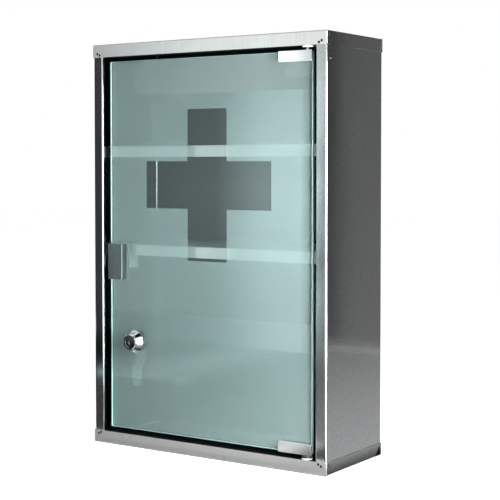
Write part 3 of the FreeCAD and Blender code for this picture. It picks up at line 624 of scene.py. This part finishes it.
def set_floor():
    """White paper: it keeps the shadow, and a little light of its own lifts it to white."""
    made, tree = new_material("white_paper_floor")
    paper = add_node(tree, "BsdfDiffuse", {"Color": srgb("#f2f2f2")})
    ray = add_node(tree, "LightPath")
    lift = add_node(tree, "MapRange", {"Value": white_to_sight(tree, ray), "To Max": FLOOR_LIFT})
    glow = add_node(
        tree, "Emission", {"Color": srgb("#ffffff"), "Strength": lift.outputs["Result"]}
    )
    both = add_node(tree, "AddShader", {0: paper.outputs["BSDF"], 1: glow.outputs["Emission"]})
    show(tree, both.outputs["Shader"])
    half = FLOOR_SIZE / 2
    flat_stage("floor", [(-half, -half, 0), (half, -half, 0), (half, half, 0), (-half, half, 0)], made)


def area_lamp(name, place, target, width, height, watts):
    lamp = bpy.data.lights.new(name, "AREA")
    lamp.shape = "RECTANGLE"
    lamp.size = width
    lamp.size_y = height
    lamp.energy = watts
    made = bpy.data.objects.new(name, lamp)
    made.location = place
    made.rotation_euler = (Vector(target) - Vector(place)).to_track_quat("-Z", "Y").to_euler()
    made.visible_camera = False
    bpy.context.scene.collection.objects.link(made)


def set_lamps():
    middle = (0.0, 0.0, 0.22)
    area_lamp("key_softbox", (0.36, -0.20, 0.225), (0.06, -0.05, 0.22), 0.16, 0.42, 4.9)
    area_lamp("top_softbox", (-0.3, -0.3, 1.6), middle, 1.2, 1.2, 5.0)


def card(name, corners, across, shades, rise=(1.0, 1.0), behind_glass=False):
    """A graded card that only reflections see, so that metal and glass have light and dark to mirror.
    Its shade goes from one to the other across it, and its strength changes with height. A card for
    what stands behind the glass is seen through it and by nothing in front of it."""
    made, tree = new_material(name + "_board")
    place = add_node(tree, "TexCoord").outputs["Generated"]
    parts = add_node(tree, "SeparateXYZ", {"Vector": place})
    shade = add_node(tree, "ValToRGB", {"Fac": parts.outputs[across]})
    for element, code in zip(shade.color_ramp.elements, shades):
        element.color = srgb(code)
    upwards = {"Value": parts.outputs["Z"], "To Min": rise[0], "To Max": rise[1]}
    strength = add_node(tree, "MapRange", upwards)
    glow = add_node(
        tree, "Emission",
        {"Color": shade.outputs["Color"], "Strength": strength.outputs["Result"]},
    )
    show(tree, glow.outputs["Emission"])
    board = flat_stage(name, corners, made)
    board.visible_camera = False
    board.visible_diffuse = False
    board.visible_glossy = not behind_glass
    board.visible_transmission = behind_glass
    board.visible_shadow = False


def standing(start, end, low, high):
    """Corners of an upright card between two points on the floor."""
    return [(*start, low), (*end, low), (*end, high), (*start, high)]


def lying(low, high, height=0.001):
    """Corners of a card that lies on the floor."""
    return [
        (low[0], low[1], height), (high[0], low[1], height),
        (high[0], high[1], height), (low[0], high[1], height),
    ]


def set_cards():
    """What metal and glass mirror, placed in metres: a row of graded boards to the left of the lens, two
    boards that the glass shows, plain walls and a ceiling, and strips of floor before the case."""
    dark = ("#3c3c3c", "#3c3c3c")
    black = ("#141414", "#141414")
    grey = ("#6c6c6c", "#6c6c6c")
    left_end, right_end, board, rear = -1.30, 2.40, -0.75, 0.75
    foot, waist, shoulder, board_top, wall_top = 0.002, 0.27, 0.44, 0.72, 1.6
    cap_side, cap_front = 0.1532, -0.0568
    lit = ((2.4, 5.8), (5.8, 3.8))
    dim = ((0.4, 0.5), (0.5, 3.0))
    top_fade = 0.7
    card("front_dark_card", standing((left_end, board), (-0.66, board), foot, board_top), "X", dark)
    for name, start, end, shades, top_shades, (low_rise, high_rise) in (
        ("first", -0.66, -0.48, ("#283030", "#8c9e9e"), ("#686868", "#c8cccc"), lit),
        ("second", -0.48, -0.38, ("#8c9e9e", "#e4ffff"), ("#c8cccc", "#dce2e2"), lit),
        ("third", -0.38, -0.31, ("#e4ffff", "#e4ffff"), ("#dce2e2", "#b4b8b8"), lit),
        ("fourth", -0.31, -0.29, ("#e4ffff", "#808c8c"), ("#b4b8b8", "#747878"), lit),
        ("fifth", -0.29, -0.22, ("#909292", "#808282"), ("#8c9090", "#747878"), dim),
    ):
        for storey, low, high, tones, rise in (
            ("lower", foot, waist, shades, low_rise),
            ("upper", waist, shoulder, shades, high_rise),
            ("top", shoulder, board_top, top_shades, (high_rise[1], top_fade * high_rise[1])),
        ):
            area = standing((start, board), (end, board), low, high)
            card(f"front_{storey}_{name}_card", area, "X", tones, rise)
    card(
        "shelf_card", standing((-0.95, board), (-0.34, board), 0.05, 0.50), "X",
        ("#ffffff", "#000000"), (3.4, 3.4), behind_glass=True,
    )
    card(
        "shelf_dark_card", standing((-0.34, board), (0.40, board), 0.05, 0.46), "X", black,
        behind_glass=True,
    )
    card("left_card", standing((left_end, board), (left_end, rear), foot, 1.2), "Y", black)
    for side, start, end, tones, rise in (
        ("left", left_end, 0.20, black, (1.0, 1.0)),
        ("middle", 0.20, 0.60, grey, (1.4, 0.15)),
        ("right", 0.60, right_end, dark, (1.6, 0.2)),
    ):
        wall = standing((start, rear), (end, rear), foot, wall_top)
        card(f"rear_{side}_card", wall, "X", tones, rise)
    card("right_card", standing((right_end, rear), (right_end, -0.20), foot, wall_top), "Y", black)
    card("ceiling_card", lying((-1.40, -1.30), (1.60, 0.90), 1.75), "X", black)
    card("lock_floor_card", lying((-1.00, -0.76), (-0.42, -0.066)), "X", black)
    card("front_floor_card", lying((-0.42, -0.76), (0.20, -0.19)), "X", ("#3c3c3c", "#a8a8a8"))
    for name, start, end, shades in (
        ("second", -0.50, -0.38, ("#202626", "#d8f2f2")),
        ("third", -0.38, -0.28, ("#d8f2f2", "#687070")),
    ):
        far_floor = lying((start, board), (end, -0.40), 0.003)
        card(f"floor_{name}_card", far_floor, "X", shades, (1.6, 1.6))
    card("stile_floor_card", lying((-0.42, -0.45), (-0.16, -0.10), 0.002), "X", ("#484848", "#484848"))
    card("near_floor_card", lying((-0.16, -0.19), (0.05, -0.10)), "X", ("#505050", "#f0f0f0"), (1.25, 1.25))
    card("hinge_floor_card", lying((0.05, -0.19), (0.09, -0.10)), "X", ("#f0f0f0", "#606060"), (1.25, 1.25))
    card("stile_end_card", lying((0.09, -0.19), (0.20, -0.10)), "X", ("#606060", "#606060"))
    card("lip_card", lying((-0.30, -0.115), (0.20, -0.061)), "Y", ("#ffffff", "#686868"), (1.35, 1.35))
    card("left_floor_card", lying((left_end, -0.066), (-0.162, 0.74)), "X", black)
    card("right_floor_card", lying((0.162, -0.06), (0.80, 0.74)), "X", ("#c0c0c0", "#5c5c5c"))
    # Painted contact shadow: dark strips on the floor along the front and the right side of the case, for
    # metal to mirror.
    card("front_contact_shadow_card", lying((-0.17, -0.061), (0.162, cap_front), 0.0005), "X", black)
    right_contact = lying((cap_side, cap_front), (0.18, 0.13), 0.0015)
    card("right_contact_shadow_card", right_contact, "X", ("#585858", "#a8a8a8"))


def set_camera():
    camera = bpy.data.cameras.new("photograph_view")
    camera.lens = CAMERA_LENS
    camera.sensor_width = CAMERA_SENSOR
    camera.sensor_fit = "HORIZONTAL"
    camera.shift_y = CAMERA_SHIFT
    made = bpy.data.objects.new("photograph_view", camera)
    made.location = CAMERA_PLACE
    upright = math.radians(90 + CAMERA_PITCH)
    made.rotation_euler = Euler((upright, 0.0, math.radians(-CAMERA_YAW)))
    bpy.context.scene.collection.objects.link(made)
    bpy.context.scene.camera = made


dress_nodes()
set_world()
set_floor()
set_lamps()
set_cards()
set_camera()
bpy.context.scene.view_settings.view_transform = "Standard"
